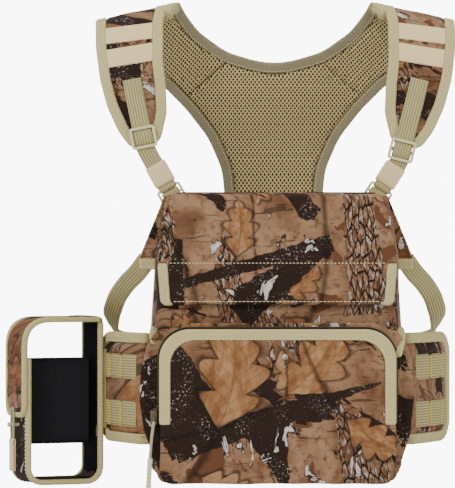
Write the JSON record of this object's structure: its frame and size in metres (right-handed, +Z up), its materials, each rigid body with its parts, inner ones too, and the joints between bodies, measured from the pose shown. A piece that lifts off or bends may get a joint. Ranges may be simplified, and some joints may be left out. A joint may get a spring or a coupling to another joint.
{
  "type": "binocular harness pack",
  "caption": "Chest-worn binocular pack with padded shoulder harness, mesh yoke, zipped front pocket, side wings and a rangefinder pouch.",
  "frame": {"origin": "middle of the pack's rear face, which lies on the wearer's chest, 135.5 mm above the pack's bottom edge", "axes": "+X is the wearer's left, +Y runs from the pack towards the wearer's back, +Z is up"},
  "size_m": [0.4417, 0.2883, 0.4731],
  "materials": {
    "black_elastic": "wide black elastic",
    "board": "stiffener board",
    "camo_fabric": "woven polyester, woodland print",
    "cord": "braided cord",
    "grip_rubber": "moulded tube grip",
    "khaki_binding": "folded grosgrain edge tape",
    "khaki_plastic": "moulded acetal buckle",
    "khaki_webbing": "ribbed nylon webbing",
    "magnet": "nickel-plated magnet",
    "spacer_mesh": "open spacer mesh",
    "tan_elastic": "flat woven elastic",
    "zipper_metal": "lacquered slider",
    "zipper_tape": "zipper tape and coil"
  },
  "bodies": {
    "pack": {"main_shell": "camo_fabric", "back_panel": "spacer_mesh", "rear_top_binding": "khaki_binding", "base_stiffener": "board", "shell_magnets": "magnet", "pocket_gusset": "camo_fabric", "pocket_facing": "camo_fabric", "pocket_lower_front": "camo_fabric", "zipper_tape_gusset": "zipper_tape", "shoulder_pad_left": "camo_fabric", "shoulder_pad_right": "camo_fabric", "shoulder_binding_left": "khaki_binding", "shoulder_binding_right": "khaki_binding", "shoulder_bands_left": "tan_elastic", "shoulder_bands_right": "tan_elastic", "yoke_pad": "spacer_mesh", "yoke_binding": "khaki_binding", "yoke_base_webbing": "khaki_webbing", "strap_adjusters": "khaki_plastic", "shoulder_webbing_left": "khaki_webbing", "shoulder_webbing_right": "khaki_webbing", "ladder_locks": "khaki_plastic", "anchor_loops": "khaki_webbing", "side_tab_left": "camo_fabric", "side_tab_right": "camo_fabric", "side_tab_bands": "khaki_binding", "side_strap_left": "khaki_webbing", "side_strap_right": "khaki_webbing"},
    "lid": {"lid_panel": "camo_fabric", "lid_binding": "khaki_binding", "lid_magnets": "magnet"},
    "pocket_door": {"pocket_front": "camo_fabric", "pocket_piping": "khaki_binding", "zipper_tape_door": "zipper_tape"},
    "zip_slider": {"zip_slider": "zipper_metal"},
    "zip_pull": {"zip_pull_cord": "cord", "zip_pull_grip": "grip_rubber"},
    "tri_glide_left": {"tri_glide_left": "khaki_plastic"},
    "tri_glide_right": {"tri_glide_right": "khaki_plastic"},
    "keeper_left": {"keeper_left": "tan_elastic"},
    "keeper_right": {"keeper_right": "tan_elastic"},
    "wing_left": {"wing_pad_left": "camo_fabric", "wing_binding_left": "khaki_binding", "molle_rows_left": "khaki_webbing", "pouch_shell": "camo_fabric", "pouch_shell_binding": "khaki_binding", "pouch_elastic_band": "black_elastic", "pouch_hook": "khaki_plastic", "pouch_mount_strap": "khaki_webbing"},
    "wing_right": {"wing_pad_right": "camo_fabric", "wing_binding_right": "khaki_binding", "molle_rows_right": "khaki_webbing", "wing_end_tab": "khaki_webbing"},
    "pouch_lid": {"pouch_lid": "camo_fabric"},
    "pouch_bungee": {"pouch_bungee_loop": "cord", "pouch_pull_tab": "tan_elastic"}
  },
  "joints": [
    {"name": "lid_hinge", "type": "hinge", "parent": "pack", "child": "lid", "pos_m": [0, -0.01, 0.1335], "axis": [-1, 0, 0], "range_deg": [0, 105]},
    {"name": "pocket_door_hinge", "type": "hinge", "parent": "pack", "child": "pocket_door", "pos_m": [0, -0.112, -0.08825], "axis": [1, 0, 0], "range_deg": [0, 70]},
    {"name": "zip_slide", "type": "slide", "parent": "pack", "child": "zip_slider", "axis": [0, 0, 1], "range_m": [0, 0.06]},
    {"name": "zip_pull_swing", "type": "hinge", "parent": "zip_slider", "child": "zip_pull", "pos_m": [-0.1153, -0.108, -0.0795], "axis": [0, 1, 0], "range_deg": [0, 70]},
    {"name": "wing_left_hinge", "type": "hinge", "parent": "pack", "child": "wing_left", "pos_m": [-0.1266, -0.004, -0.0545], "axis": [0, 0, 1], "range_deg": [0, 60]},
    {"name": "wing_right_hinge", "type": "hinge", "parent": "pack", "child": "wing_right", "pos_m": [0.1266, -0.004, -0.0545], "axis": [0, 0, -1], "range_deg": [0, 60]},
    {"name": "pouch_lid_hinge", "type": "hinge", "parent": "wing_left", "child": "pouch_lid", "pos_m": [-0.18052, 0.08104, 0.011], "axis": [-0.3584, 0.9336, 0], "range_deg": [0, 75]},
    {"name": "pouch_bungee_swing", "type": "hinge", "parent": "pouch_lid", "child": "pouch_bungee", "pos_m": [-0.25792, 0.05133, -0.077], "axis": [-0.3584, 0.9336, 0], "range_deg": [0, 65]},
    {"name": "tri_glide_left_slide", "type": "slide", "parent": "pack", "child": "tri_glide_left", "axis": [-0.2024, 0.096, 0.9746], "range_m": [0, 0.02]},
    {"name": "tri_glide_right_slide", "type": "slide", "parent": "pack", "child": "tri_glide_right", "axis": [0.2548, 0.0845, 0.9633], "range_m": [0, 0.02]},
    {"name": "keeper_left_slide", "type": "slide", "parent": "pack", "child": "keeper_left", "axis": [-0.4889, 0.0077, 0.8723], "range_m": [0, 0.014]},
    {"name": "keeper_right_slide", "type": "slide", "parent": "pack", "child": "keeper_right", "axis": [0.5369, 0.0051, 0.8437], "range_m": [0, 0.0014]}
  ]
}
